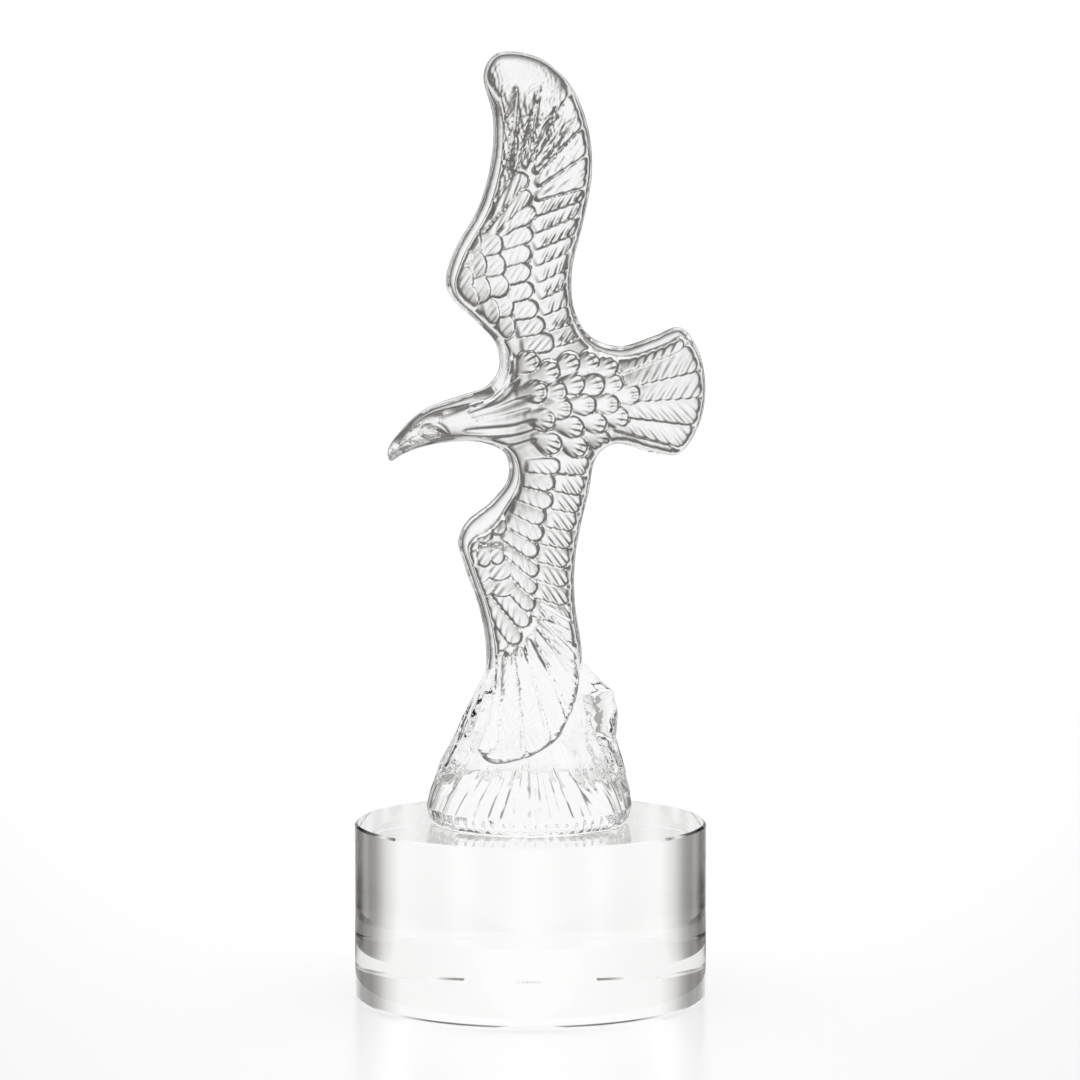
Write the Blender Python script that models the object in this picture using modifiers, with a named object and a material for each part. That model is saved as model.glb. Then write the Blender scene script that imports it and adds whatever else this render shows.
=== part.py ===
"""Glass eagle trophy: a flying eagle cast with the rock below its lower wing, on a round glass base.

All lengths are in metres, +Z is up and the eagle's carved side faces -Y. The origin is the centre of
the base's underside.

The figure is drawn on a sheet, x to the right and y down, in units of its own height. Depths towards
the viewer are in the same units. place() turns sheet points into metres.
"""

import math
import random

import bmesh
import bpy
import numpy as np
from mathutils.geometry import delaunay_2d_cdt
from mathutils.kdtree import KDTree

BASE_DIAMETER = 0.090
BASE_HEIGHT = 0.0445
BASE_CHAMFER = 0.0006
BASE_SEGMENTS = 96
GLUE_GAP = 0.0003
FIGURE_HEIGHT = 0.1955

# The sheet: the trophy's axis, the level of the figure's foot and the top of the upper wing.
AXIS_X = 531.0
FOOT_Y = 822.0
TOP_Y = 51.0
UNIT = FIGURE_HEIGHT / (FOOT_Y - TOP_Y)

# The eagle's outline, clockwise from the top, as smooth stretches that join into one loop.
UPPER_WING_TRAILING_EDGE = (
    (513, 51), (543, 59), (571, 84), (588, 122), (593, 170), (584, 221), (573, 268), (575, 306),
)
TAIL = (
    (590, 333), (620, 344), (654, 334), (681, 325), (698, 344), (707, 384), (700, 425), (680, 453),
    (650, 451), (617, 443), (598, 456),
)
LOWER_WING_TRAILING_EDGE = ((590, 490), (577, 552), (576, 600), (583, 655), (579, 697), (558, 737))
LOWER_WING_TIP = ((522, 757), (487, 760), (470, 744))
LOWER_WING_LEADING_EDGE = (
    (480, 708), (486, 655), (480, 612), (465, 568), (458, 541), (466, 521), (491, 500), (508, 477),
    (505, 453),
)
HEAD = (
    (484, 442), (441, 442), (405, 452), (390, 460), (387, 450), (400, 429), (425, 407), (462, 393),
    (487, 384), (499, 366),
)
UPPER_WING_LEADING_EDGE = (
    (496, 343), (476, 320), (452, 297), (446, 280), (454, 250), (480, 202), (492, 155), (493, 115),
    (484, 74), (494, 55),
)
OUTLINE = (
    UPPER_WING_TRAILING_EDGE + TAIL + LOWER_WING_TRAILING_EDGE + LOWER_WING_TIP
    + LOWER_WING_LEADING_EDGE + HEAD + UPPER_WING_LEADING_EDGE
)

# Depths of the cast plate. The carved face stands forward of a clear ledge, which shows round it.
SEAM_DEPTH = -12.0
LEDGE_DEPTH = 5.0
FACE_DEPTH = 28.0
BACK_DEPTH = -24.0
SIDE_WALL = 1.6
BACK_ROUNDING = 8.0
LEDGE_WIDTH = 5.5
LEDGE_SPREAD = 5.0
LEDGE_MIN = 2.2
LEDGE_MAX = 12.0
LEDGE_SIDE = (-0.75, -0.65)
FACE_WALL = 3.0
SHOULDER = (478, 512)
SHOULDER_LEDGE = 8.0
SHOULDER_REACH = 22.0
WING_CROWN = 5.0
BODY_CENTRE = (572, 404)
BODY_REACH = (78, 48)
BODY_CROWN = 14.0
HEAD_CENTRE = (432, 424)
HEAD_REACH = (48, 34)
HEAD_CROWN = 8.0
HEAD_WALL = 12.0
HEAD_LEDGE = 0.6

# The lower wing leans forward onto the rock, and the upper one sweeps back a little.
TIP_LEAN = 32.0
TIP_LEAN_FROM = 640.0
TIP_LEAN_TO = 752.0
UPPER_SWEEP = -8.0
UPPER_SWEEP_FROM = 330.0

# Rows of feathers: root line, tip line, how many, lift at the tip and tilt across.
FEATHER_ROWS = (
    # Upper wing: primaries, secondaries, primary coverts, greater, median and two lesser rows.
    (((500, 174), (515, 166), (528, 162), (537, 170), (538, 193)),
     ((499, 62), (524, 52), (556, 66), (584, 100), (598, 136), (598, 164)), 6, 4.5, 2.6),
    (((536, 207), (538, 262), (544, 305), (556, 335)),
     ((591, 188), (575, 251), (573, 283), (583, 326)), 9, 3.6, 2.4),
    (((484, 214), (487, 228), (500, 234)), ((507, 168), (528, 176), (535, 208)), 4, 6.0, 1.6),
    (((506, 222), (506, 262), (514, 300), (526, 342)),
     ((533, 212), (534, 268), (539, 305), (554, 338)), 8, 5.6, 2.0),
    (((484, 243), (488, 268), (502, 324)), ((504, 241), (508, 268), (518, 324)), 5, 6.2, 1.4),
    (((466, 240), (472, 262), (478, 290), (488, 310)),
     ((482, 238), (488, 262), (494, 288), (503, 308)), 4, 6.6, 1.2),
    (((456, 256), (458, 276), (466, 296)), ((471, 250), (474, 272), (481, 294)), 3, 6.8, 1.0),
    # Lower wing: primaries, secondaries, middle coverts and small left coverts.
    (((495, 652), (521, 645), (538, 628), (541, 606)),
     ((478, 749), (506, 760), (534, 750), (560, 733), (575, 702), (582, 668), (580, 638)),
     7, 4.5, -3.6),
    (((563, 461), (556, 498), (545, 535), (541, 582), (537, 603)),
     ((593, 463), (586, 502), (575, 545), (572, 574), (577, 615)), 9, 3.6, 2.4),
    (((531, 462), (520, 498), (508, 530), (508, 562), (500, 588), (488, 600), (482, 612)),
     ((562, 463), (553, 499), (544, 528), (540, 560), (535, 602), (522, 638), (505, 648)),
     12, 5.8, 2.0),
    (((480, 578), (503, 578)), ((484, 595), (508, 592)), 2, 6.2, 0.0),
    (((476, 564), (499, 560)), ((480, 581), (503, 577)), 2, 6.6, 0.0),
    (((469, 548), (497, 544)), ((472, 566), (500, 561)), 3, 7.0, 0.0),
    (((468, 534), (496, 512)), ((478, 548), (506, 528)), 4, 7.4, 0.0),
    # Tail.
    (((622, 362), (631, 390), (612, 434)),
     ((682, 330), (703, 358), (708, 388), (704, 414), (696, 434), (674, 453)), 6, 4.5, 2.8),
)
# The body's round scales by their middles. They fan out from the neck towards the tail.
BODY_SCALES = (
    (530, 358), (550, 368), (570, 360), (590, 358), (608, 362), (538, 388), (557, 388), (575, 380),
    (595, 381), (613, 380), (630, 391), (562, 405), (586, 401), (609, 401), (546, 416), (574, 424),
    (597, 420), (619, 414), (552, 441), (578, 444), (601, 438),
)
SCALE_MIDDLE = 404.0
SCALE_FAN_DEG = 0.55
SCALE_LENGTHS = (10.0, 11.0)
SCALE_HALVES = (12.5, 13.0)
SCALE_LIFT = 5.5
SCALE_RISE = 0.03
SCALE_FIRST = 640.0
FEATHER_OVERLAP = 1.3
FEATHER_CROWN = 1.8
FEATHER_EDGE = 4.0
FEATHER_DROP = 6.0
FEATHER_ROOT = 7.0
FEATHER_RELIEF = 0.8

# The upper wing's end is smooth: its relief and its ledge fade out between these levels.
SMOOTH_END = (66.0, 100.0)
LEDGE_END = (75.0, 120.0)
END_LEDGE = 0.3
END_WALL = 14.0
END_RIM = 15.0

# Carved lines: points, half width and depth. The neck's locks, the eye, the brow, the beak.
CARVED_LINES = (
    (((480, 400), (496, 393), (509, 384), (519, 376)), 1.8, -3.0),
    (((474, 412), (498, 405), (518, 397), (533, 392)), 1.9, -3.2),
    (((478, 417), (503, 413), (530, 405)), 1.7, -2.8),
    (((466, 427), (495, 425), (515, 423), (535, 416)), 2.0, -3.4),
    (((466, 435), (500, 435), (520, 432), (540, 425)), 2.0, -3.4),
    (((496, 444), (516, 442), (536, 435)), 1.7, -2.8),
    (((421, 430), (429, 426), (438, 427), (443, 431)), 1.6, -3.4),
    (((421, 431), (430, 434), (443, 432)), 1.5, -3.0),
    (((417, 424), (428, 419), (441, 422), (450, 430)), 3.2, 3.4),
    (((396, 453), (405, 447), (420, 444), (432, 443)), 1.5, -3.0),
    (((410, 438), (421, 441)), 1.5, -2.8),
)

# The rock: level above the foot, then its reach to the left, the right, the front and the back.
ROCK_SECTIONS = (
    (0, 98, 96, 104, 92), (4, 102, 99, 107, 95), (16, 105, 102, 105, 93), (32, 101, 100, 88, 86),
    (58, 91, 93, 56, 72), (84, 77, 85, 40, 58), (108, 66, 87, 34, 46), (130, 55, 83, 28, 38),
    (146, 48, 66, 22, 33), (160, 40, 54, 16, 28), (170, 28, 36, 10, 18),
)
ROCK_SEGMENTS = 84
ROCK_RINGS = 12
ROCK_RIDGES = 26
RIDGE_HEIGHT = 5.0
RIDGE_WIDTH_DEG = 5.0
ROCK_SEED = 11

# Broad lobes and runnels on the rock's right: angle from +X, width, level from and to, height.
ROCK_LOBES = (
    (-30, 9, 42, 185, 7.0), (-48, 5, 20, 185, -7.0), (-12, 5, 30, 185, -5.0), (10, 9, 60, 185, 5.0),
    (205, 7, 30, 150, -5.0),
)

OUTLINE_STEP = 3.2
FACE_STEP = 2.6
BACK_STEP = 8.0
PLATE_TRIANGLES = 6600

GLASS_COLOUR = (0.97, 0.98, 0.98, 1.0)
GLASS_IOR = 1.5


def clear_scene():
    """Remove what a new file holds."""
    for item in list(bpy.data.objects):
        bpy.data.objects.remove(item, do_unlink=True)


def new_collection(name):
    """Add a collection to the scene."""
    collection = bpy.data.collections.new(name)
    bpy.context.scene.collection.children.link(collection)
    return collection


def glass(name, tint):
    """Clear polished glass."""
    material = bpy.data.materials.new(name)
    material.use_nodes = True
    shader = material.node_tree.nodes["Principled BSDF"]
    shader.inputs["Base Color"].default_value = tint
    shader.inputs["Metallic"].default_value = 0.0
    shader.inputs["Roughness"].default_value = 0.0
    shader.inputs["IOR"].default_value = GLASS_IOR
    shader.inputs["Transmission Weight"].default_value = 1.0
    return material


def smooth_curve(points, step, closed=False):
    """Points at even steps along a smooth curve through the given ones."""
    knots = np.array(points, float)
    wrap = 3
    if closed:
        knots = np.vstack([knots[-wrap:], knots, knots[:wrap + 1]])
    chord = np.hypot(*np.diff(knots, axis=0).T)
    stops = np.concatenate([[0.0], np.cumsum(np.sqrt(chord))])
    slope = np.gradient(knots, stops, axis=0)
    first, last = (wrap, len(knots) - wrap - 1) if closed else (0, len(knots) - 1)
    fine = np.linspace(stops[first], stops[last], 40 * (last - first) + 1)
    cell = np.clip(np.searchsorted(stops, fine, side="right") - 1, 0, len(knots) - 2)
    span = (stops[cell + 1] - stops[cell])[:, None]
    t = (fine - stops[cell])[:, None] / span
    curve = (
        (2 * t**3 - 3 * t**2 + 1) * knots[cell] + (t**3 - 2 * t**2 + t) * span * slope[cell]
        + (3 * t**2 - 2 * t**3) * knots[cell + 1] + (t**3 - t**2) * span * slope[cell + 1]
    )
    run = np.concatenate([[0.0], np.cumsum(np.hypot(*np.diff(curve, axis=0).T))])
    count = max(2, int(round(run[-1] / step)) + 1)
    even = np.linspace(0.0, run[-1], count)
    even_curve = np.stack([np.interp(even, run, curve[:, k]) for k in range(2)], axis=1)
    return even_curve[:-1] if closed else even_curve


def ease(value):
    """0 below 0, 1 above 1 and a smooth step between."""
    t = np.clip(value, 0.0, 1.0)
    return t * t * (3 - 2 * t)


def corner(value, power=2.6):
    """The rise of a wall with a rounded upper edge, for a value from 0 to 1."""
    t = np.clip(value, 0.0, 1.0)
    return (1 - (1 - t) ** power) ** (1 / power)


def bump(x, y, centre, reach):
    """A soft round swelling."""
    return np.exp(-(((x - centre[0]) / reach[0]) ** 2) - ((y - centre[1]) / reach[1]) ** 2)


def outward(loop):
    """Unit vectors that point out of a clockwise loop on the sheet."""
    along = np.roll(loop, -1, axis=0) - np.roll(loop, 1, axis=0)
    along /= np.hypot(*along.T)[:, None]
    return np.stack([along[:, 1], -along[:, 0]], axis=1)


def end_share(y, levels, end_value):
    """The end value at the upper wing's end, 1 below it and a smooth change between two levels."""
    return end_value + (1 - end_value) * ease((y - levels[0]) / (levels[1] - levels[0]))


def ledge_widths(loop, out):
    """How far the carved face stands back from each point of the outline."""
    width = LEDGE_WIDTH + LEDGE_SPREAD * (out @ np.array(LEDGE_SIDE))
    width = np.clip(width, LEDGE_MIN, LEDGE_MAX) * end_share(loop[:, 1], LEDGE_END, END_LEDGE)
    width += SHOULDER_LEDGE * bump(*loop.T, SHOULDER, (SHOULDER_REACH, SHOULDER_REACH))
    width *= 1 - HEAD_LEDGE * bump(*loop.T, HEAD_CENTRE, HEAD_REACH)
    reach = max(1, int(round(10.0 / np.hypot(*(loop[1] - loop[0])))))
    window = np.ones(2 * reach + 1) / (2 * reach + 1)
    around = np.concatenate([width[-reach:], width, width[:reach]])
    return np.convolve(around, window, mode="valid")


class Outline:
    """The eagle's outline as a dense loop, with distances measured inwards from it."""

    def __init__(self, step):
        self.loop = smooth_curve(OUTLINE, step, closed=True)
        self.out = outward(self.loop)
        self.ledge = ledge_widths(self.loop, self.out)
        self.tree = KDTree(len(self.loop))
        for k, (x, y) in enumerate(self.loop.tolist()):
            self.tree.insert((x, y, 0.0), k)
        self.tree.balance()

    def measure(self, points):
        """Distance inside the outline, negative outside, and the ledge's width there."""
        near = np.array([self.tree.find((x, y, 0.0))[1] for x, y in points.tolist()])
        ahead = np.roll(self.loop, -1, axis=0)
        reaches = []
        for first in (near, (near - 1) % len(self.loop)):
            edge = ahead[first] - self.loop[first]
            away = points - self.loop[first]
            share = np.clip((away * edge).sum(axis=1) / (edge**2).sum(axis=1), 0.0, 1.0)
            reaches.append(np.hypot(*(away - share[:, None] * edge).T))
        reach = np.minimum(*reaches)
        inside = ((points - self.loop[near]) * self.out[near]).sum(axis=1) <= 1e-9
        return np.where(inside, reach, -reach), self.ledge[near]


def guide(points, count):
    """Evenly spaced points along a smooth line."""
    line = smooth_curve(points, 0.5)
    return line[np.linspace(0, len(line) - 1, round(count)).round().astype(int)]


def feathers_of(row):
    """The feathers of one row, each as root, tip, half widths at both and the row's own values."""
    root_line, tip_line, count, lift, tilt = row
    roots = guide(root_line, count)
    tips = guide(tip_line, count)
    feathers = []
    for i in range(len(roots)):
        along = tips[i] - roots[i]
        across = np.array([-along[1], along[0]]) / np.hypot(*along)
        near = [j for j in (i - 1, i + 1) if 0 <= j < len(roots)]
        halves = []
        for line in (roots, tips):
            gap = sum(abs((line[j] - line[i]) @ across) for j in near) / len(near)
            halves.append(max(3.5, gap / 2 * FEATHER_OVERLAP))
        feathers.append((roots[i], tips[i], halves[0], halves[1], lift, tilt))
    return feathers


def feather_height(x, y, feather):
    """Height of one feather over the sheet, far below zero outside it."""
    root, tip, root_half, tip_half, lift, tilt = feather
    length = np.hypot(*(tip - root))
    ax, ay = (tip - root) / length
    u = (x - root[0]) * ax + (y - root[1]) * ay
    v = (y - root[1]) * ax - (x - root[0]) * ay
    share = np.clip(u / length, 0.0, 1.0)
    half = root_half + (tip_half - root_half) * share
    nose = min(tip_half * 1.1, 0.6 * length)
    past = np.maximum(0.0, u - (length - nose)) / nose * half
    inner = np.where(u > -FEATHER_ROOT, half - np.hypot(v, past), -1.0)
    top = lift * (0.3 + 0.7 * share) + tilt * v / half + FEATHER_CROWN * (1 - (v / half) ** 2)
    fall = 1 - np.clip(inner / FEATHER_EDGE, 0.0, 1.0)
    return np.where(inner > 0, (top - FEATHER_DROP * fall**2) * ease(1 + u / FEATHER_ROOT), -1e3)


def scale_feathers():
    """The body's scales, as short round feathers."""
    scales = []
    for place_x, place_y in BODY_SCALES:
        turn = math.radians((place_y - SCALE_MIDDLE) * SCALE_FAN_DEG)
        middle = np.array((place_x, place_y), float)
        along = np.array((math.cos(turn), math.sin(turn)))
        root = middle - SCALE_LENGTHS[0] * along
        tip = middle + SCALE_LENGTHS[1] * along
        lift = SCALE_LIFT + SCALE_RISE * (SCALE_FIRST - place_x)
        scales.append((root, tip, *SCALE_HALVES, lift, 0.0))
    return scales


def carving(x, y):
    """Relief of the whole face: the highest feather at each place, then the carved lines."""
    height = np.zeros(len(x))
    feathers = [feather for row in FEATHER_ROWS for feather in feathers_of(row)]
    for feather in feathers + scale_feathers():
        root, tip, root_half, tip_half = feather[:4]
        reach = max(root_half, tip_half) + FEATHER_ROOT
        low = np.minimum(root, tip) - reach
        high = np.maximum(root, tip) + reach
        near = np.flatnonzero((x > low[0]) & (x < high[0]) & (y > low[1]) & (y < high[1]))
        height[near] = np.maximum(height[near], feather_height(x[near], y[near], feather))
    height *= FEATHER_RELIEF * end_share(y, SMOOTH_END, 0.0)
    for points, half, depth in CARVED_LINES:
        line = smooth_curve(points, 1.0)
        low = line.min(axis=0) - 4 * half
        high = line.max(axis=0) + 4 * half
        near = np.flatnonzero((x > low[0]) & (x < high[0]) & (y > low[1]) & (y < high[1]))
        spots = np.stack([x[near], y[near]], axis=1)
        gap = np.sqrt(((spots[:, None, :] - line[None]) ** 2).sum(axis=2))
        place = gap.argmin(axis=1) / (len(line) - 1)
        taper = 0.35 + 0.65 * np.sin(math.pi * np.clip(place, 0.0, 1.0)) ** 0.5
        height[near] += depth * taper * np.exp(-(gap.min(axis=1) / (half * taper)) ** 2)
    return height


def lean(y):
    """How far the whole plate stands forward at each level."""
    low = TIP_LEAN * ease((y - TIP_LEAN_FROM) / (TIP_LEAN_TO - TIP_LEAN_FROM))
    high = UPPER_SWEEP * np.clip((UPPER_SWEEP_FROM - y) / (UPPER_SWEEP_FROM - TOP_Y), 0.0, 1.0) ** 2
    return low + high


def front_depth(points, depth, ledge):
    """Depth of the carved side over the sheet."""
    x, y = points.T
    head = bump(x, y, HEAD_CENTRE, HEAD_REACH)
    end = 1 - end_share(y, LEDGE_END, 0.0)
    wall = FACE_WALL + HEAD_WALL * head + END_WALL * end
    rim = LEDGE_DEPTH + END_RIM * end
    inner = depth - ledge
    side = SEAM_DEPTH + (rim - SEAM_DEPTH) * corner(depth / SIDE_WALL)
    face = FACE_DEPTH - rim + WING_CROWN * (1 - np.exp(-np.maximum(inner, 0.0) / 16.0))
    face += BODY_CROWN * bump(x, y, BODY_CENTRE, BODY_REACH) + HEAD_CROWN * head
    relief = carving(x, y) * ease((inner - 0.5) / 3.5)
    return lean(y) + side + face * corner(inner / wall) + relief


def back_depth(points, depth):
    """Depth of the plain back over the sheet."""
    x, y = points.T
    plain = BACK_DEPTH - WING_CROWN * (1 - np.exp(-depth / 20.0))
    plain -= 0.5 * BODY_CROWN * bump(x, y, BODY_CENTRE, BODY_REACH)
    return lean(y) + SEAM_DEPTH + (plain - SEAM_DEPTH) * corner(depth / BACK_ROUNDING)


def hex_grid(loop, step):
    """Rows of points in a triangular pattern over the loop's box."""
    low = loop.min(axis=0)
    high = loop.max(axis=0)
    rows = np.arange(low[1], high[1], step * math.sqrt(0.75))
    points = []
    for k, level in enumerate(rows):
        across = np.arange(low[0] + (k % 2) * step / 2, high[0], step)
        points.append(np.stack([across, np.full_like(across, level)], axis=1))
    return np.vstack(points)


def sheet_points(outline, step, insets, clear):
    """The outline, rings at the given insets, and a grid that starts clear of the last ring."""
    layers = [outline.loop]
    for inset in insets:
        width = inset(outline.ledge)
        ring = outline.loop - outline.out * width[:, None]
        depth, _ = outline.measure(ring)
        layers.append(ring[depth > 0.96 * width])
    grid = hex_grid(outline.loop, step)
    depth, ledge = outline.measure(grid)
    layers.append(grid[depth > clear(ledge)])
    return np.vstack(layers)


def triangulate(outline, points):
    """Triangles over the points, bounded by the outline."""
    ring = list(range(len(outline.loop)))
    spots, _, faces, _, _, _ = delaunay_2d_cdt(points.tolist(), [], [ring], 1, 1e-5)
    return np.array([tuple(spot) for spot in spots]), faces


def place(points, depth):
    """Sheet points at a depth towards the viewer, in metres."""
    x, y = points.T
    foot = BASE_HEIGHT + GLUE_GAP
    return np.stack([(x - AXIS_X) * UNIT, -depth * UNIT, foot + (FOOT_Y - y) * UNIT], axis=1)


def eagle_plate():
    """The eagle as one closed body, carved in front and plain behind."""
    outline = Outline(OUTLINE_STEP)
    mesh = bmesh.new()
    front_insets = (
        lambda ledge: 0.0 * ledge + 0.7,
        lambda ledge: 0.0 * ledge + SIDE_WALL,
        lambda ledge: ledge,
        lambda ledge: ledge + 0.8,
        lambda ledge: ledge + FACE_WALL,
    )
    front = sheet_points(outline, FACE_STEP, front_insets, lambda ledge: ledge + 5.0)
    spots, faces = triangulate(outline, front)
    depth, ledge = outline.measure(spots)
    depth = np.maximum(depth, 0.0)
    depth[:len(outline.loop)] = 0.0
    add_surface(mesh, place(spots, front_depth(spots, depth, ledge)), faces)
    back_insets = (
        lambda ledge: 0.0 * ledge + 1.0,
        lambda ledge: 0.0 * ledge + 3.5,
        lambda ledge: 0.0 * ledge + BACK_ROUNDING,
    )
    back = sheet_points(outline, BACK_STEP, back_insets, lambda ledge: 0.0 * ledge + BACK_ROUNDING + 4)
    spots, faces = triangulate(outline, back)
    depth, _ = outline.measure(spots)
    depth = np.maximum(depth, 0.0)
    depth[:len(outline.loop)] = 0.0
    add_surface(mesh, place(spots, back_depth(spots, depth)), faces)
    bmesh.ops.remove_doubles(mesh, verts=mesh.verts, dist=1e-7)
    bmesh.ops.recalc_face_normals(mesh, faces=mesh.faces)
    return mesh


def add_surface(mesh, corners, faces):
    """Add a triangulated surface to a mesh."""
    verts = [mesh.verts.new(corner_place) for corner_place in corners.tolist()]
    for face in faces:
        mesh.faces.new([verts[k] for k in face])


def rock_radius(angle, level, ridges):
    """Reach of the rock from its axis at an angle and a level above the foot."""
    levels = np.array([row[0] for row in ROCK_SECTIONS], float)
    left, right, front, back = (
        np.interp(level, levels, [row[k] for row in ROCK_SECTIONS]) for k in range(1, 5)
    )
    c = math.cos(angle)
    s = math.sin(angle)
    radius = 1 / math.hypot(c / (right if c > 0 else left), s / (back if s > 0 else front))
    for spot, width, low, high, height in ridges:
        turn = (angle - spot + math.pi) % (2 * math.pi) - math.pi
        window = ease((level - low) / 12.0) * ease((high - level) / 30.0)
        radius += height * window * math.exp(-((turn / width) ** 2))
    return radius


def rock_ridges():
    """Upright ridges and runnels round the rock, at uneven angles."""
    draw = random.Random(ROCK_SEED)
    ridges = []
    for k in range(ROCK_RIDGES):
        spot = 2 * math.pi * (k + draw.uniform(-0.35, 0.35)) / ROCK_RIDGES
        width = math.radians(RIDGE_WIDTH_DEG * draw.uniform(0.7, 1.3))
        low = draw.uniform(-10.0, 12.0)
        high = draw.uniform(70.0, 190.0)
        ridges.append((spot, width, low, high, RIDGE_HEIGHT * draw.uniform(-0.9, 1.0)))
    for turn, spread, low, high, height in ROCK_LOBES:
        ridges.append((math.radians(turn), math.radians(spread), low, high, height))
    return ridges


def rock():
    """The rock as a closed stack of rings with flat ends."""
    ridges = rock_ridges()
    top = ROCK_SECTIONS[-1][0]
    shares = [k / (ROCK_RINGS - 1) for k in range(ROCK_RINGS)]
    levels = [top * (0.55 * share + 0.45 * share**2) for share in shares]
    mesh = bmesh.new()
    rings = []
    for level in levels:
        ring = []
        for k in range(ROCK_SEGMENTS):
            angle = 2 * math.pi * k / ROCK_SEGMENTS
            radius = rock_radius(angle, level, ridges)
            height = BASE_HEIGHT + GLUE_GAP + level * UNIT
            ring.append(
                mesh.verts.new(
                    (radius * math.cos(angle) * UNIT, radius * math.sin(angle) * UNIT, height)
                )
            )
        rings.append(ring)
    for lower, upper in zip(rings, rings[1:]):
        for k in range(ROCK_SEGMENTS):
            after = (k + 1) % ROCK_SEGMENTS
            mesh.faces.new((lower[k], lower[after], upper[after], upper[k]))
    mesh.faces.new(rings[0])
    mesh.faces.new(rings[-1])
    bmesh.ops.recalc_face_normals(mesh, faces=mesh.faces)
    bmesh.ops.triangulate(mesh, faces=mesh.faces)
    return mesh


def object_from(mesh, name, collection):
    """Turn a mesh under construction into a named object."""
    data = bpy.data.meshes.new(name)
    mesh.to_mesh(data)
    mesh.free()
    item = bpy.data.objects.new(name, data)
    collection.objects.link(item)
    return item


def thin_out(item, triangles):
    """Merge small triangles until about the given number is left."""
    thinner = item.modifiers.new("fewer triangles", "DECIMATE")
    thinner.ratio = min(1.0, triangles / len(item.data.polygons))
    thinner.use_collapse_triangulate = True


def eagle_figure(parts, cutters):
    """The eagle and the rock below its lower wing, cast as one piece."""
    figure = object_from(eagle_plate(), "eagle_figure", parts)
    thin_out(figure, PLATE_TRIANGLES)
    stone = object_from(rock(), "rock_to_join", cutters)
    stone.hide_render = True
    stone.display_type = "WIRE"
    join = figure.modifiers.new("join the rock", "BOOLEAN")
    join.operation = "UNION"
    join.solver = "EXACT"
    join.object = stone
    figure.data.materials.append(glass("figure glass", GLASS_COLOUR))
    return figure


def round_base(parts):
    """The solid glass disc with small polished chamfers."""
    mesh = bmesh.new()
    bmesh.ops.create_cone(
        mesh, cap_ends=True, segments=BASE_SEGMENTS, radius1=BASE_DIAMETER / 2,
        radius2=BASE_DIAMETER / 2, depth=BASE_HEIGHT,
    )
    bmesh.ops.translate(mesh, verts=mesh.verts, vec=(0, 0, BASE_HEIGHT / 2))
    base = object_from(mesh, "round_base", parts)
    chamfer = base.modifiers.new("polished chamfer", "BEVEL")
    chamfer.width = BASE_CHAMFER
    chamfer.segments = 1
    chamfer.limit_method = "ANGLE"
    chamfer.angle_limit = math.radians(60)
    base.data.materials.append(glass("base glass", GLASS_COLOUR))
    return base


def main():
    clear_scene()
    parts = new_collection("glass eagle trophy")
    cutters = new_collection("shapes to join")
    eagle_figure(parts, cutters)
    round_base(parts)


main()
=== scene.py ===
"""The glass eagle trophy's looks: the carved eagle on its rock and the polished disc, in clear glass."""

import math
import random

import bmesh
import bpy
import numpy as np
from mathutils.geometry import delaunay_2d_cdt
from mathutils.kdtree import KDTree
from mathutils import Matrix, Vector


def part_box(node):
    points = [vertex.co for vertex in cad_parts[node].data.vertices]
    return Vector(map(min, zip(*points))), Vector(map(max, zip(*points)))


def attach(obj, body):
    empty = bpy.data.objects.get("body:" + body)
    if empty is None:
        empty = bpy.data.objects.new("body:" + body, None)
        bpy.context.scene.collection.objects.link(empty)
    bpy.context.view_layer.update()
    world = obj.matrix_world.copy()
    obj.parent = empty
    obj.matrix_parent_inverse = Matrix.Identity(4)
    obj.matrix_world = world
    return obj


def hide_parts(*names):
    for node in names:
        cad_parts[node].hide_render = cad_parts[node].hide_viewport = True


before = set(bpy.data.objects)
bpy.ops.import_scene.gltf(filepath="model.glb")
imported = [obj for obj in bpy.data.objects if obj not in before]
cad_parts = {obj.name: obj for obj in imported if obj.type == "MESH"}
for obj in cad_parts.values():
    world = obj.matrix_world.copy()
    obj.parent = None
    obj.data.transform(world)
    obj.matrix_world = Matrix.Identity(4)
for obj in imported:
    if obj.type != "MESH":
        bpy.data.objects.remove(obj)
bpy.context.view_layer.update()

BASE_LOW, BASE_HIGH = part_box("round_base")
FIGURE_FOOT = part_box("eagle_figure")[0][2]
BASE_RADIUS = (BASE_HIGH[0] - BASE_LOW[0]) / 2
BASE_CHAMFER = 0.0006
FIGURE_HEIGHT = 0.1955

# The sheet: the trophy's axis, the level of the figure's foot and the top of the upper wing.
AXIS_X = 531.0
FOOT_Y = 822.0
TOP_Y = 51.0
UNIT = FIGURE_HEIGHT / (FOOT_Y - TOP_Y)

# The eagle's outline, clockwise from the top, as smooth stretches that join into one loop.
UPPER_WING_TRAILING_EDGE = (
    (513, 51), (543, 59), (571, 84), (588, 122), (593, 170), (584, 221), (573, 268), (575, 306),
)
TAIL = (
    (590, 333), (620, 344), (654, 334), (681, 325), (698, 344), (707, 384), (700, 425), (680, 453),
    (650, 451), (617, 443), (598, 456),
)
LOWER_WING_TRAILING_EDGE = ((590, 490), (577, 552), (576, 600), (583, 655), (579, 697), (558, 737))
LOWER_WING_TIP = ((522, 757), (487, 760), (470, 744))
LOWER_WING_LEADING_EDGE = (
    (480, 708), (486, 655), (480, 612), (465, 568), (458, 541), (466, 521), (491, 500), (508, 477),
    (505, 453),
)
HEAD = (
    (484, 442), (441, 442), (405, 452), (390, 460), (387, 450), (400, 429), (425, 407), (462, 393),
    (487, 384), (499, 366),
)
UPPER_WING_LEADING_EDGE = (
    (496, 343), (476, 320), (452, 297), (446, 280), (454, 250), (480, 202), (492, 155), (493, 115),
    (484, 74), (494, 55),
)
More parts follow.
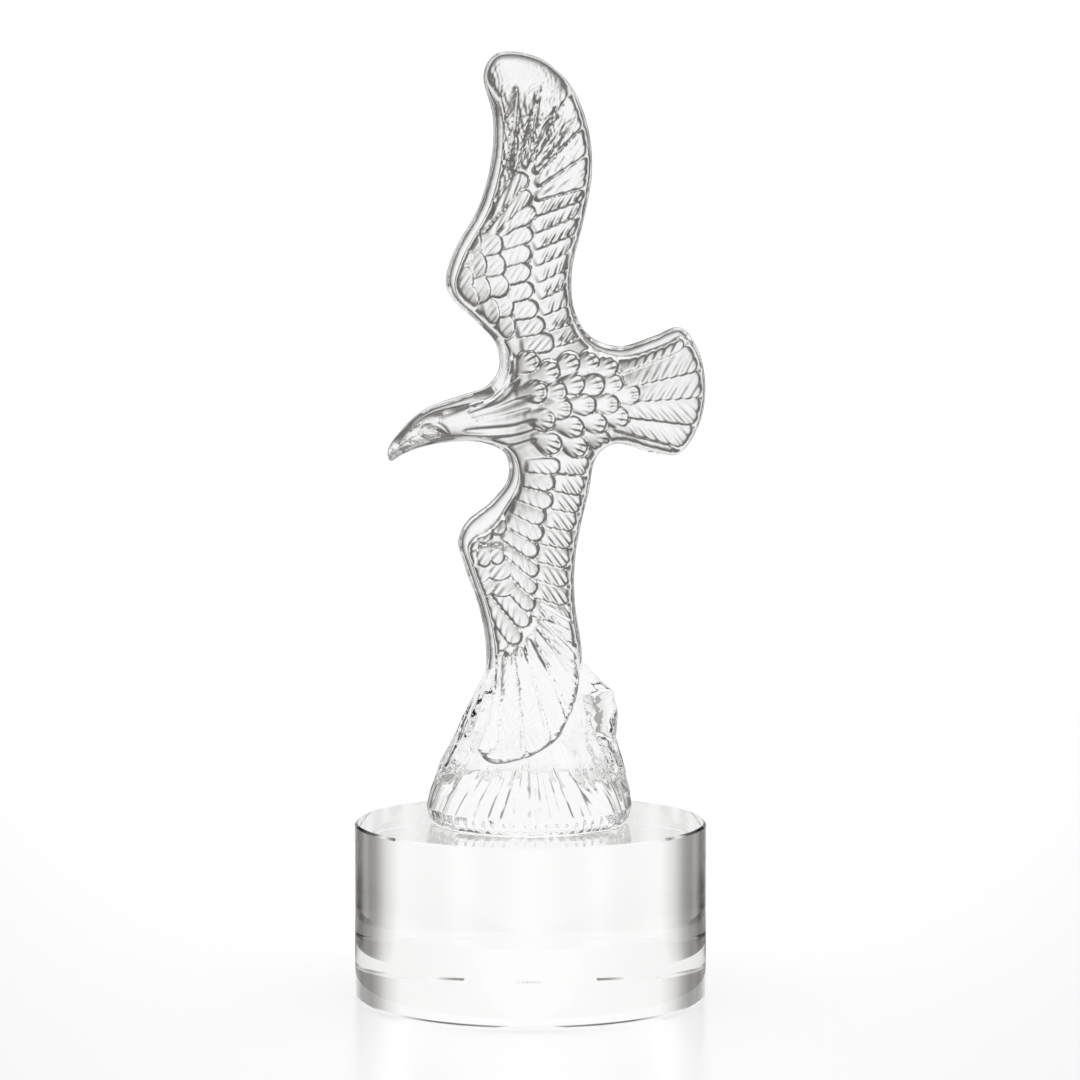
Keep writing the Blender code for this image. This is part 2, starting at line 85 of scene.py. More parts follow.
OUTLINE = (
    UPPER_WING_TRAILING_EDGE + TAIL + LOWER_WING_TRAILING_EDGE + LOWER_WING_TIP
    + LOWER_WING_LEADING_EDGE + HEAD + UPPER_WING_LEADING_EDGE
)

# Depths of the cast plate. The carved face stands forward of a clear ledge, which shows round it.
SEAM_DEPTH = -12.0
LEDGE_DEPTH = 5.0
FACE_DEPTH = 28.0
BACK_DEPTH = -24.0
SIDE_WALL = 1.6
BACK_ROUNDING = 8.0
LEDGE_WIDTH = 5.5
LEDGE_SPREAD = 5.0
LEDGE_MIN = 2.2
LEDGE_MAX = 12.0
LEDGE_SIDE = (-0.75, -0.65)
LEDGE_BLUR = 10.0
FACE_WALL = 3.0
# The relief starts this far inside the ledge and is full after this much more.
RELIEF_FADE = (0.5, 3.5)
SHOULDER = (478, 512)
SHOULDER_LEDGE = 8.0
SHOULDER_REACH = 22.0
WING_CROWN = 5.0
CROWN_REACH = 16.0
BACK_CROWN_REACH = 20.0
BODY_CENTRE = (572, 404)
BODY_REACH = (78, 48)
BODY_CROWN = 14.0
BACK_BODY_SHARE = 0.5
HEAD_CENTRE = (432, 424)
HEAD_REACH = (48, 34)
HEAD_CROWN = 8.0
HEAD_WALL = 12.0
HEAD_LEDGE = 0.6

# The lower wing leans forward onto the rock, and the upper one sweeps back a little.
TIP_LEAN = 32.0
TIP_LEAN_FROM = 640.0
TIP_LEAN_TO = 752.0
UPPER_SWEEP = -8.0
UPPER_SWEEP_FROM = 330.0

# Barbs on a feather: pitch, slant on a row's first and second half, depth and the shaft's depth. A positive
# slant runs down towards the tip. A fan of rays has no pitch.
LONG_BARBS = (20.0, -3.0, -3.0, 0.6, 1.0)
UP_BARBS = (9.0, -1.0, -1.0, 1.4, 0.0)
FINE_UP_BARBS = (8.5, -1.0, -1.0, 0.6, 0.0)
DOWN_BARBS = (9.0, 1.0, 1.0, 1.1, 0.0)
FINE_DOWN_BARBS = (8.5, 1.0, 1.0, 0.5, 0.0)
COVERT_BARBS = (20.0, -3.0, -3.0, 1.1, 0.0)
TAIL_BARBS = (11.0, -1.0, 1.0, 1.0, 0.0)
RAYS = (None, 0.0, 0.0, 1.1, 0.0)
# The shaft's groove: half width, and how steeply it starts along the feather.
SHAFT_HALF = 2.4
SHAFT_START = 4
# Barbs are full on one half of a feather and fade out over the other: value at the shaft and change across.
# They fade at the edge over a distance and start along the feather this steeply. Rays fade at the edge too.
BARB_SIDES = (0.65, 0.9)
BARB_FADES = (3, 6)
RAY_INSET = 4

# Rows of feathers: root line, tip line, how many, lift at the tip, tilt across and barbs.
FEATHER_ROWS = (
    # Upper wing: primaries, secondaries, primary coverts, greater, median and two lesser rows.
    (((500, 174), (515, 166), (528, 162), (537, 170), (538, 193)),
     ((499, 62), (524, 52), (556, 66), (584, 100), (598, 136), (598, 164)), 6, 5.0, 6.5, LONG_BARBS),
    (((536, 207), (538, 262), (544, 305), (556, 335)),
     ((591, 188), (575, 251), (573, 283), (583, 326)), 9, 3.6, 2.4, UP_BARBS),
    (((484, 214), (487, 228), (500, 234)), ((507, 168), (528, 176), (535, 208)), 4, 6.0, 1.6, COVERT_BARBS),
    (((506, 222), (506, 262), (514, 300), (526, 342)),
     ((533, 212), (534, 268), (539, 305), (554, 338)), 8, 5.6, 2.0, FINE_UP_BARBS),
    (((484, 243), (488, 268), (502, 324)), ((504, 241), (508, 268), (518, 324)), 5, 6.2, 1.4, FINE_UP_BARBS),
    (((466, 240), (472, 262), (478, 290), (488, 310)),
     ((482, 238), (488, 262), (494, 288), (503, 308)), 4, 6.6, 1.2, FINE_UP_BARBS),
    (((456, 256), (458, 276), (466, 296)), ((471, 250), (474, 272), (481, 294)), 3, 6.8, 1.0, FINE_UP_BARBS),
    # Lower wing: primaries, secondaries, middle coverts and small left coverts.
    (((495, 652), (521, 645), (538, 628), (541, 606)),
     ((478, 749), (506, 760), (534, 750), (560, 733), (575, 702), (582, 668), (580, 638)),
     7, 4.5, -6.0, LONG_BARBS),
    (((563, 461), (556, 498), (545, 535), (541, 582), (537, 603)),
     ((593, 463), (586, 502), (575, 545), (572, 574), (577, 615)), 9, 3.6, 2.4, DOWN_BARBS),
    (((531, 462), (520, 498), (508, 530), (508, 562), (500, 588), (488, 600), (482, 612)),
     ((562, 463), (553, 499), (544, 528), (540, 560), (535, 602), (522, 638), (505, 648)),
     12, 5.8, 2.0, FINE_DOWN_BARBS),
    (((480, 578), (503, 578)), ((484, 595), (508, 592)), 2, 6.2, 0.0, FINE_DOWN_BARBS),
    (((476, 564), (499, 560)), ((480, 581), (503, 577)), 2, 6.6, 0.0, FINE_DOWN_BARBS),
    (((469, 548), (497, 544)), ((472, 566), (500, 561)), 3, 7.0, 0.0, FINE_DOWN_BARBS),
    (((466, 530), (494, 512)), ((474, 548), (504, 532)), 3, 7.4, 0.0, FINE_DOWN_BARBS),
    # Tail.
    (((622, 362), (631, 390), (612, 434)),
     ((682, 330), (703, 358), (708, 388), (704, 414), (696, 434), (674, 453)), 6, 4.5, 2.8, TAIL_BARBS),
)
# The body's round scales by their middles. They fan out from the neck towards the tail.
BODY_SCALES = (
    (530, 358), (550, 368), (570, 360), (590, 358), (608, 362), (538, 388), (557, 388), (575, 380),
    (595, 381), (613, 380), (630, 391), (562, 405), (586, 401), (609, 401), (546, 416), (574, 424),
    (597, 420), (619, 414), (552, 441), (578, 444), (601, 438),
)
# How a scale turns with its level, how far it reaches behind and ahead of its middle, its half widths at
# root and tip, its lift, which grows towards the neck, its rays and the groove inside its rim.
SCALE_MIDDLE = 404.0
SCALE_FAN_DEG = 0.55
SCALE_LENGTHS = (17.0, 11.0)
SCALE_HALVES = (12.0, 13.5)
SCALE_LIFT = 5.5
SCALE_RISE = 0.03
SCALE_FIRST = 640.0
SCALE_ROOT_LIFT = 0.05
SCALE_RAYS = 10.0
SCALE_RAY_START = 0.35
SCALE_RIM = 5.5
SCALE_RIM_HALF = 2.0
SCALE_CUP = 1.6
# Along a scale, the rays and the groove fade in (slope and start), and the soft root edge narrows (how much
# wider it is and slope).
SCALE_RAY_FADE = (3, 1.2)
SCALE_CUP_FADE = (2, 0.8)
SCALE_SOFT_ROOT = (2, 1.6)
# Every feather: overlap, least half width, share of the lift at the root, crown, width of the edge and its
# drop, soft root, and the rounded nose as a share of the tip's half width and at most of the length.
FEATHER_OVERLAP = 1.3
FEATHER_MIN_HALF = 3.5
FEATHER_ROOT_LIFT = 0.3
FEATHER_CROWN = 1.8
FEATHER_EDGE = 4.0
FEATHER_DROP = 6.0
FEATHER_ROOT = 7.0
FEATHER_NOSE = (1.1, 0.6)
FEATHER_RELIEF = 0.8
# How single feathers differ from their row: slant, the tip's place, shares of lift and tilt, and added tilt.
FEATHER_SEED = 5
SLANT_SPREAD = 0.25
TIP_SPREAD = (1.8, 1.2)
LIFT_SHARES = (0.8, 1.2)
TILT_SHARES = (0.6, 1.4)
TILT_SPREAD = 0.7

# The upper wing's end is smooth: its relief and its ledge fade out between these levels.
SMOOTH_END = (78.0, 104.0)
LEDGE_END = (75.0, 120.0)
END_LEDGE = 0.3
END_WALL = 14.0
END_RIM = 15.0

# Carved lines: points, half width, depth and how much wider the side below the line is. The neck's locks,
# the edge from the beak over the crown into the shoulder, the grooves on both wing tips, the eye, the brow
# and the beak.
CARVED_LINES = (
    (((480, 400), (496, 393), (509, 384), (519, 376)), 1.9, -3.6, 3.0),
    (((474, 412), (498, 405), (518, 397), (533, 392)), 2.0, -3.8, 3.0),
    (((478, 417), (503, 413), (530, 405)), 1.9, -3.2, 2.6),
    (((466, 427), (495, 425), (515, 423), (535, 416)), 2.1, -4.0, 3.0),
    (((466, 435), (500, 435), (520, 432), (540, 425)), 2.1, -4.0, 2.6),
    (((496, 444), (516, 442), (536, 435)), 1.9, -3.2, 2.6),
    (((395, 450), (402, 439), (412, 429), (426, 419), (444, 411)), 2.4, -4.5, 1.6),
    (((470, 408), (490, 400), (504, 388), (512, 372), (513, 352)), 2.8, -5.0, 1.6),
    (((517, 88), (512, 125), (506, 166)), 3.0, -8.0, 2.0),
    (((539, 92), (532, 130), (523, 160)), 2.8, -7.0, 2.0),
    (((557, 108), (546, 136), (533, 161)), 2.6, -5.0, 1.8),
    (((573, 119), (556, 143), (538, 165)), 2.4, -4.0, 1.6),
    (((501, 652), (498, 700), (493, 745)), 2.8, -8.0, 2.0),
    (((513, 650), (518, 700), (521, 748)), 2.8, -8.0, 2.0),
    (((523, 645), (536, 692), (546, 734)), 2.8, -8.0, 2.0),
    (((531, 637), (551, 678), (565, 712)), 2.6, -6.5, 2.0),
    (((537, 626), (559, 656), (575, 682)), 2.4, -5.0, 1.8),
    (((421, 430), (429, 426), (438, 427), (443, 431)), 1.7, -4.0, 1.0),
    (((421, 431), (430, 434), (443, 432)), 1.6, -3.6, 1.0),
    (((417, 424), (428, 419), (441, 422), (450, 430)), 3.2, 3.8, 1.0),
    (((396, 453), (405, 447), (420, 444), (432, 443)), 1.6, -3.8, 1.8),
    (((410, 438), (421, 441)), 1.6, -3.2, 1.0),
)
# A carved line's share of width and depth at its ends, and how many half widths it is worked out over.
LINE_END = 0.35
LINE_REACH = 3
# Frosty places with fine uneven facets: below the upper wing's end, at its left, on it, and on the lower
# wing's tip. Each has a middle, a reach and a depth.
FROST = (
    ((524, 136), (50, 34), 1.2), ((494, 84), (12, 22), 0.9), ((550, 78), (26, 20), 0.5),
    ((520, 700), (44, 44), 0.9),
)
# The facets' waves across and along the sheet: pitch, sway, the sway's pitch and, across, the slope.
FROST_ACROSS = (1.25, 2.0, 0.21, 0.4)
FROST_ALONG = (0.5, 1.7, 0.37)
# A dark line round the carved face: how far in, half width and depth. It fades in over a short way, and
# loses a share of its depth where the ledge is wide: the share, the width and over how much more.
EDGE_LINE = (3.4, 2.0, -2.4)
EDGE_LINE_FADE = 1.5
EDGE_LINE_LOSS = (0.7, 4.0, 4.0)
# Places where the clear ledge falls off to the outline: middle, reach and fall.
EDGE_FALLS = (((498, 368), (16, 32), 11.0), ((403, 436), (20, 20), 7.0), ((590, 120), (20, 60), 6.0))
EDGE_FALL_PAST = 1.0

# The rock: level above the foot, then its reach to the left, the right, the front and the back.
ROCK_SECTIONS = (
    (0, 98, 96, 104, 92), (4, 102, 99, 107, 95), (16, 105, 102, 105, 93), (32, 101, 100, 88, 86),
    (58, 91, 93, 56, 72), (84, 77, 85, 40, 58), (108, 66, 87, 34, 46), (130, 55, 83, 28, 38),
    (146, 48, 66, 22, 33), (160, 40, 54, 16, 28), (170, 28, 36, 10, 18),
)
ROCK_SEGMENTS = 360
ROCK_RINGS = 90
# How a ring's level grows with its number: evenly and by its square.
RING_SPACING = (0.55, 0.45)
# Upright ridges, fine runnels and drips at the foot: how many round the rock, width in degrees, heights,
# levels from and to, and drift for each level.
ROCK_RIDGES = (
    (20, 6.0, (-1.6, 1.6), (-10, 12), (70, 190), 0.0),
    (60, 1.1, (-3.4, -1.2), (-10, 70), (50, 175), 0.0012),
    (56, 1.8, (-4.5, 4.5), (-20, -8), (40, 75), 0.0),
)
# How unevenly they stand, how their widths differ, and over how many levels they fade in and out.
RIDGE_UNEVENNESS = 0.35
RIDGE_WIDTH_SHARES = (0.7, 1.3)
RIDGE_FADES = (12.0, 30.0)
# The rock is plainer behind: where ridges, and then the overhang and the dimples, fade out towards the back.
RIDGE_SIDE_FADE = (0.75, 0.9)
FRONT_SIDE_FADE = (0.3, 0.6)
# The upper mass stands out over the foot along a wavy edge: level, waves as height and number round the
# rock, and how far it stands out.
OVERHANG_LEVEL = 52.0
OVERHANG_WAVES = ((6.0, 7), (5.0, 17))
OVERHANG_REACH = 2.5
OVERHANG_FADES = (5.0, 60.0)
# Dimples in a row along the foot: level, half height, depth and number round the rock.
DIMPLES = (6.0, 3.5, -3.0, 62)
ROCK_SEED = 11

# Broad lobes and runnels on the rock's right: angle from +X, width, level from and to, height.
ROCK_LOBES = (
    (-30, 9, 42, 185, 5.0), (-48, 4, 20, 185, -6.0), (-12, 4, 30, 185, -4.0), (10, 9, 60, 185, 3.0),
    (205, 7, 30, 150, -3.0),
)

# Mesh steps on the sheet: along the outline, over the carved face and over the back. Rings inside the
# outline and the start of the even grid are each a share of the ledge's width and a distance.
OUTLINE_STEP = 1.4
FACE_STEP = 1.25
BACK_STEP = 3.0
CURVE_FINENESS = 40
FRONT_INSETS = ((0.0, 0.7), (0.0, SIDE_WALL), (1.0, 0.0), (1.0, 0.8), (1.0, FACE_WALL))
FRONT_CLEAR = (1.0, 5.0)
BACK_INSETS = ((0.0, 1.0), (0.0, 3.5), (0.0, BACK_ROUNDING))
BACK_CLEAR = (0.0, BACK_ROUNDING + 4.0)
RING_CHECK = 0.96
FIGURE_SHARP_DEG = 55
BASE_SHARP_DEG = 30

# The disc's rings have as many points as the rock's, because its top holds the rock's foot line.
BASE_SEGMENTS = ROCK_SEGMENTS
# A face belongs to the rock's foot if it lies this near the foot's level and looks down at least this much.
FOOT_MARGIN = 0.00001
FOOT_FACING = -0.9

# Clear glass, the clear bond between rock and disc, and the faint waves of a pressed surface.
GLASS_IOR = 1.5
BOND_IOR = 1.0
WHITE = (1.0, 1.0, 1.0, 1.0)
FIGURE_TINT = (0.96, 0.96, 0.96, 1.0)
BASE_TINT = (0.985, 0.985, 0.98, 1.0)
SKIN_WAVE = 0.0045
SKIN_DEPTH = 0.00028
SKIN_DETAIL = 1.5

# The photograph's camera, the floor, and the tent: a far dome, a low skirt, cloth on the ground and a white
# mat.
GLASS_BOUNCES = 24
MIRROR_BOUNCES = 12
CAMERA_LENS = 120.0
CAMERA_SENSOR = 36.0
CAMERA_PLACE = (0.00243, -0.915, 0.1843)
CAMERA_PITCH_DEG = 4.23
FLOOR_REACH = 30.0
FLOOR_LEVEL = -0.0002
FLOOR_GREY = (0.38, 0.38, 0.38, 1.0)
FLOOR_ROUGHNESS = 0.25
FLOOR_GLOW = 0.54
SKY_STRENGTH = 1.05
DOME_RADIUS = 4.0
DOME_SEGMENTS = 64
CLOTH_SEGMENTS = 96
SKIRT_RADIUS = 0.15
SKIRT_HEIGHT = 0.05
GROUND_CLOTH_LEVEL = -0.0004
MAT_RADIUS = 0.058
MAT_LEVEL = -0.0003
# The low cloth's turns are measured from a place near the disc's rim.
RIM_PLACE = (-0.0075, 0.044, 0.0)
# The tent's brightness by shares of a right angle: on the dome away from the nearest of the four level
# directions, and on the low cloth round from the front or the back to a side.
DOME_STOPS = (
    (0.0, 1.0), (0.067, 0.98), (0.11, 0.85), (0.167, 0.52), (0.222, 0.26), (0.267, 0.12), (0.36, 0.12),
    (0.42, 0.5), (0.49, 0.92), (0.6, 1.0), (1.0, 1.0),
)
LOW_STOPS = (
    (0.0, 1.0), (0.38, 1.0), (0.46, 0.78), (0.53, 0.45), (0.6, 0.25), (0.68, 0.22), (0.74, 0.05),
    (0.9, 0.04), (1.0, 0.4),
)
WHITE_STOPS = ((0.0, 1.0), (1.0, 1.0))
# How much warmer than neutral the tent's greys are, as powers for green and blue.
GREY_WARMTH = (1.02, 1.045)


def smooth_curve(points, step, closed=False):
    """Points at even steps along a smooth curve through the given ones."""
    knots = np.array(points, float)
    wrap = 3
    if closed:
        knots = np.vstack([knots[-wrap:], knots, knots[:wrap + 1]])
    chord = np.hypot(*np.diff(knots, axis=0).T)
    stops = np.concatenate([[0.0], np.cumsum(np.sqrt(chord))])
    slope = np.gradient(knots, stops, axis=0)
    first, last = (wrap, len(knots) - wrap - 1) if closed else (0, len(knots) - 1)
    fine = np.linspace(stops[first], stops[last], CURVE_FINENESS * (last - first) + 1)
    cell = np.clip(np.searchsorted(stops, fine, side="right") - 1, 0, len(knots) - 2)
    span = (stops[cell + 1] - stops[cell])[:, None]
    t = (fine - stops[cell])[:, None] / span
    curve = (
        (2 * t**3 - 3 * t**2 + 1) * knots[cell] + (t**3 - 2 * t**2 + t) * span * slope[cell]
        + (3 * t**2 - 2 * t**3) * knots[cell + 1] + (t**3 - t**2) * span * slope[cell + 1]
    )
    run = np.concatenate([[0.0], np.cumsum(np.hypot(*np.diff(curve, axis=0).T))])
    count = max(2, int(round(run[-1] / step)) + 1)
    even = np.linspace(0.0, run[-1], count)
    even_curve = np.stack([np.interp(even, run, curve[:, k]) for k in range(2)], axis=1)
    return even_curve[:-1] if closed else even_curve


def ease(value):
    """0 below 0, 1 above 1 and a smooth step between."""
    t = np.clip(value, 0.0, 1.0)
    return t * t * (3 - 2 * t)


def corner(value, power=2.6):
    """The rise of a wall with a rounded upper edge, for a value from 0 to 1."""
    t = np.clip(value, 0.0, 1.0)
    return (1 - (1 - t) ** power) ** (1 / power)


def bump(x, y, centre, reach):
    """A soft round swelling."""
    return np.exp(-(((x - centre[0]) / reach[0]) ** 2) - ((y - centre[1]) / reach[1]) ** 2)


def outward(loop):
    """Unit vectors that point out of a clockwise loop on the sheet."""
    along = np.roll(loop, -1, axis=0) - np.roll(loop, 1, axis=0)
    along /= np.hypot(*along.T)[:, None]
    return np.stack([along[:, 1], -along[:, 0]], axis=1)


def end_share(y, levels, end_value):
    """The end value at the upper wing's end, 1 below it and a smooth change between two levels."""
    return end_value + (1 - end_value) * ease((y - levels[0]) / (levels[1] - levels[0]))


def ledge_widths(loop, out):
    """How far the carved face stands back from each point of the outline."""
    width = LEDGE_WIDTH + LEDGE_SPREAD * (out @ np.array(LEDGE_SIDE))
    width = np.clip(width, LEDGE_MIN, LEDGE_MAX) * end_share(loop[:, 1], LEDGE_END, END_LEDGE)
    width += SHOULDER_LEDGE * bump(*loop.T, SHOULDER, (SHOULDER_REACH, SHOULDER_REACH))
    width *= 1 - HEAD_LEDGE * bump(*loop.T, HEAD_CENTRE, HEAD_REACH)
    reach = max(1, int(round(LEDGE_BLUR / np.hypot(*(loop[1] - loop[0])))))
    window = np.ones(2 * reach + 1) / (2 * reach + 1)
    around = np.concatenate([width[-reach:], width, width[:reach]])
    return np.convolve(around, window, mode="valid")


class Outline:
    """The eagle's outline as a dense loop, with distances measured inwards from it."""

    def __init__(self, step):
        self.loop = smooth_curve(OUTLINE, step, closed=True)
        self.out = outward(self.loop)
        self.ledge = ledge_widths(self.loop, self.out)
        self.tree = KDTree(len(self.loop))
        for k, (x, y) in enumerate(self.loop.tolist()):
            self.tree.insert((x, y, 0.0), k)
        self.tree.balance()

    def measure(self, points):
        """Distance inside the outline, negative outside, and the ledge's width there."""
        near = np.array([self.tree.find((x, y, 0.0))[1] for x, y in points.tolist()])
        ahead = np.roll(self.loop, -1, axis=0)
        reaches = []
        for first in (near, (near - 1) % len(self.loop)):
            edge = ahead[first] - self.loop[first]
            away = points - self.loop[first]
            share = np.clip((away * edge).sum(axis=1) / (edge**2).sum(axis=1), 0.0, 1.0)
            reaches.append(np.hypot(*(away - share[:, None] * edge).T))
        reach = np.minimum(*reaches)
        inside = ((points - self.loop[near]) * self.out[near]).sum(axis=1) <= 1e-9
        return np.where(inside, reach, -reach), self.ledge[near]


def guide(points, count):
    """Evenly spaced points along a smooth line."""
    line = smooth_curve(points, 0.5)
    return line[np.linspace(0, len(line) - 1, round(count)).round().astype(int)]


def feathers_of(row, draw):
    """The feathers of one row, each as root, tip, half widths at both and the row's own values.

    They vary a little, as carved by hand.
    """
    root_line, tip_line, count, lift, tilt, barbs = row
    pitch, first_slant, last_slant, depth, shaft = barbs
    roots = guide(root_line, count)
    tips = guide(tip_line, count)
    feathers = []
    for i in range(len(roots)):
        along = tips[i] - roots[i]
        across = np.array([-along[1], along[0]]) / np.hypot(*along)
        near = [j for j in (i - 1, i + 1) if 0 <= j < len(roots)]
        halves = []
        for line in (roots, tips):
            gap = sum(abs((line[j] - line[i]) @ across) for j in near) / len(near)
            halves.append(max(FEATHER_MIN_HALF, gap / 2 * FEATHER_OVERLAP))
        slant = first_slant if i < count / 2 else last_slant
        slant += draw.uniform(-SLANT_SPREAD, SLANT_SPREAD)
        tip = tips[i] + np.array([draw.uniform(-spread, spread) for spread in TIP_SPREAD])
        rise = lift * draw.uniform(*LIFT_SHARES)
        roll = tilt * draw.uniform(*TILT_SHARES) + draw.uniform(-TILT_SPREAD, TILT_SPREAD)
        feathers.append((roots[i], tip, halves[0], halves[1], rise, roll, pitch, slant, depth, shaft))
    return feathers


def feather_height(x, y, feather):
    """Height of one feather over the sheet, far below zero outside it."""
    root, tip, root_half, tip_half, lift, tilt, pitch, slant, depth, shaft = feather
    length = np.hypot(*(tip - root))
    ax, ay = (tip - root) / length
    u = (x - root[0]) * ax + (y - root[1]) * ay
    v = (y - root[1]) * ax - (x - root[0]) * ay
    share = np.clip(u / length, 0.0, 1.0)
    half = root_half + (tip_half - root_half) * share
    nose = min(tip_half * FEATHER_NOSE[0], FEATHER_NOSE[1] * length)
    past = np.maximum(0.0, u - (length - nose)) / nose * half
    inner = np.where(u > -FEATHER_ROOT, half - np.hypot(v, past), -1.0)
    crown = FEATHER_CROWN * (1 - (v / half) ** 2)
    if pitch is None:
        angle = np.arctan2(v, u + SCALE_RAY_START * length)
        rays = np.cos(angle * SCALE_RAYS * math.pi) * ease(share * SCALE_RAY_FADE[0] - SCALE_RAY_FADE[1])
        cup = SCALE_CUP * np.exp(-(((inner - SCALE_RIM) / SCALE_RIM_HALF) ** 2))
        cup *= ease(share * SCALE_CUP_FADE[0] - SCALE_CUP_FADE[1])
        top = lift * (SCALE_ROOT_LIFT + (1 - SCALE_ROOT_LIFT) * share) + crown
        top = top + depth * rays * ease(inner / RAY_INSET) - cup
        wider, slope = SCALE_SOFT_ROOT
        edge = FEATHER_EDGE * (1 + wider * (1 - ease(share * slope)))
    else:
        waves = np.cos(2 * math.pi * (u - slant * v) / pitch)
        side = ease(BARB_SIDES[0] + BARB_SIDES[1] * v / half)
        top = lift * (FEATHER_ROOT_LIFT + (1 - FEATHER_ROOT_LIFT) * share) + tilt * v / half + crown
        top = top + depth * waves * side * ease(inner / BARB_FADES[0]) * ease(share * BARB_FADES[1])
        top = top - shaft * np.exp(-((v / SHAFT_HALF) ** 2)) * ease(share * SHAFT_START)
        edge = FEATHER_EDGE
    fall = 1 - np.clip(inner / edge, 0.0, 1.0)
    return np.where(inner > 0, (top - FEATHER_DROP * fall**2) * ease(1 + u / FEATHER_ROOT), -1e3)


def scale_feathers():
    """The body's scales, as short round feathers."""
    scales = []
    for place_x, place_y in BODY_SCALES:
        turn = math.radians((place_y - SCALE_MIDDLE) * SCALE_FAN_DEG)
        middle = np.array((place_x, place_y), float)
        along = np.array((math.cos(turn), math.sin(turn)))
        root = middle - SCALE_LENGTHS[0] * along
        tip = middle + SCALE_LENGTHS[1] * along
        lift = SCALE_LIFT + SCALE_RISE * (SCALE_FIRST - place_x)
        pitch, slant, _, depth, shaft = RAYS
        scales.append((root, tip, *SCALE_HALVES, lift, 0.0, pitch, slant, depth, shaft))
    return scales


def within(x, y, low, high):
    """Which points lie in a box."""
    return np.flatnonzero((x > low[0]) & (x < high[0]) & (y > low[1]) & (y < high[1]))


def carving(x, y):
    """Relief of the whole face: the highest feather at each place, then the carved lines."""
    height = np.zeros(len(x))
    draw = random.Random(FEATHER_SEED)
    feathers = [feather for row in FEATHER_ROWS for feather in feathers_of(row, draw)]
    for feather in feathers + scale_feathers():
        root, tip, root_half, tip_half = feather[:4]
        reach = max(root_half, tip_half) + FEATHER_ROOT
        near = within(x, y, np.minimum(root, tip) - reach, np.maximum(root, tip) + reach)
        height[near] = np.maximum(height[near], feather_height(x[near], y[near], feather))
    height *= FEATHER_RELIEF * end_share(y, SMOOTH_END, 0.0)
    for points, half, depth, spread in CARVED_LINES:
        line = smooth_curve(points, 1.0)
        reach = LINE_REACH * half * spread
        near = within(x, y, line.min(axis=0) - reach, line.max(axis=0) + reach)
        spots = np.stack([x[near], y[near]], axis=1)
        gap = np.sqrt(((spots[:, None, :] - line[None]) ** 2).sum(axis=2))
        nearest = gap.argmin(axis=1)
        share = nearest / (len(line) - 1)
        taper = LINE_END + (1 - LINE_END) * np.sin(math.pi * np.clip(share, 0.0, 1.0)) ** 0.5
        course = np.gradient(line, axis=0)[nearest]
        aside = spots - line[nearest]
        below = course[:, 0] * aside[:, 1] - course[:, 1] * aside[:, 0] > 0
        width = half * taper * np.where(below, spread, 1.0)
        height[near] += depth * taper * np.exp(-(gap.min(axis=1) / width) ** 2)
    return height


def frost(x, y):
    """Fine uneven facets that scatter the light."""
    height = np.zeros(len(x))
    for middle, reach, depth in FROST:
        height += depth * bump(x, y, middle, reach)
    pitch, sway, sway_pitch, slope = FROST_ACROSS
    across = np.sin(pitch * x + sway * np.sin(sway_pitch * y) + slope * y)
    pitch, sway, sway_pitch = FROST_ALONG
    along = np.sin(pitch * y + sway * np.sin(sway_pitch * x))
    return height * across * along


def lean(y):
    """How far the whole plate stands forward at each level."""
    low = TIP_LEAN * ease((y - TIP_LEAN_FROM) / (TIP_LEAN_TO - TIP_LEAN_FROM))
    high = UPPER_SWEEP * np.clip((UPPER_SWEEP_FROM - y) / (UPPER_SWEEP_FROM - TOP_Y), 0.0, 1.0) ** 2
    return low + high


def front_depth(points, depth, ledge):
    """Depth of the carved side over the sheet."""
    x, y = points.T
    head = bump(x, y, HEAD_CENTRE, HEAD_REACH)
    end = 1 - end_share(y, LEDGE_END, 0.0)
    wall = FACE_WALL + HEAD_WALL * head + END_WALL * end
    rim = LEDGE_DEPTH + END_RIM * end
    inner = depth - ledge
    sunk = np.zeros(len(x))
    for middle, reach, fall in EDGE_FALLS:
        share = np.clip(depth / (ledge + EDGE_FALL_PAST), 0.0, 1.0)
        sunk += fall * bump(x, y, middle, reach) * (1 - share)
    side = SEAM_DEPTH + (rim - sunk - SEAM_DEPTH) * corner(depth / SIDE_WALL)
    face = FACE_DEPTH - rim + WING_CROWN * (1 - np.exp(-np.maximum(inner, 0.0) / CROWN_REACH))
    face += BODY_CROWN * bump(x, y, BODY_CENTRE, BODY_REACH) + HEAD_CROWN * head
    relief = (carving(x, y) + frost(x, y)) * ease((inner - RELIEF_FADE[0]) / RELIEF_FADE[1])
    inset, half, line_depth = EDGE_LINE
    line = line_depth * np.exp(-(((inner - inset) / half) ** 2)) * end_share(y, LEDGE_END, 0.0)
    loss, wide, over = EDGE_LINE_LOSS
    relief += line * ease(inner / EDGE_LINE_FADE) * (1 - loss * ease((ledge - wide) / over))
    return lean(y) + side + face * corner(inner / wall) + relief


def back_depth(points, depth):
    """Depth of the plain back over the sheet."""
    x, y = points.T
    plain = BACK_DEPTH - WING_CROWN * (1 - np.exp(-depth / BACK_CROWN_REACH))
    plain -= BACK_BODY_SHARE * BODY_CROWN * bump(x, y, BODY_CENTRE, BODY_REACH)
    return lean(y) + SEAM_DEPTH + (plain - SEAM_DEPTH) * corner(depth / BACK_ROUNDING)


def hex_grid(loop, step):
    """Rows of points in a triangular pattern over the loop's box."""
    low = loop.min(axis=0)
    high = loop.max(axis=0)
    rows = np.arange(low[1], high[1], step * math.sqrt(0.75))
    points = []
    for k, level in enumerate(rows):
        across = np.arange(low[0] + (k % 2) * step / 2, high[0], step)
        points.append(np.stack([across, np.full_like(across, level)], axis=1))
    return np.vstack(points)


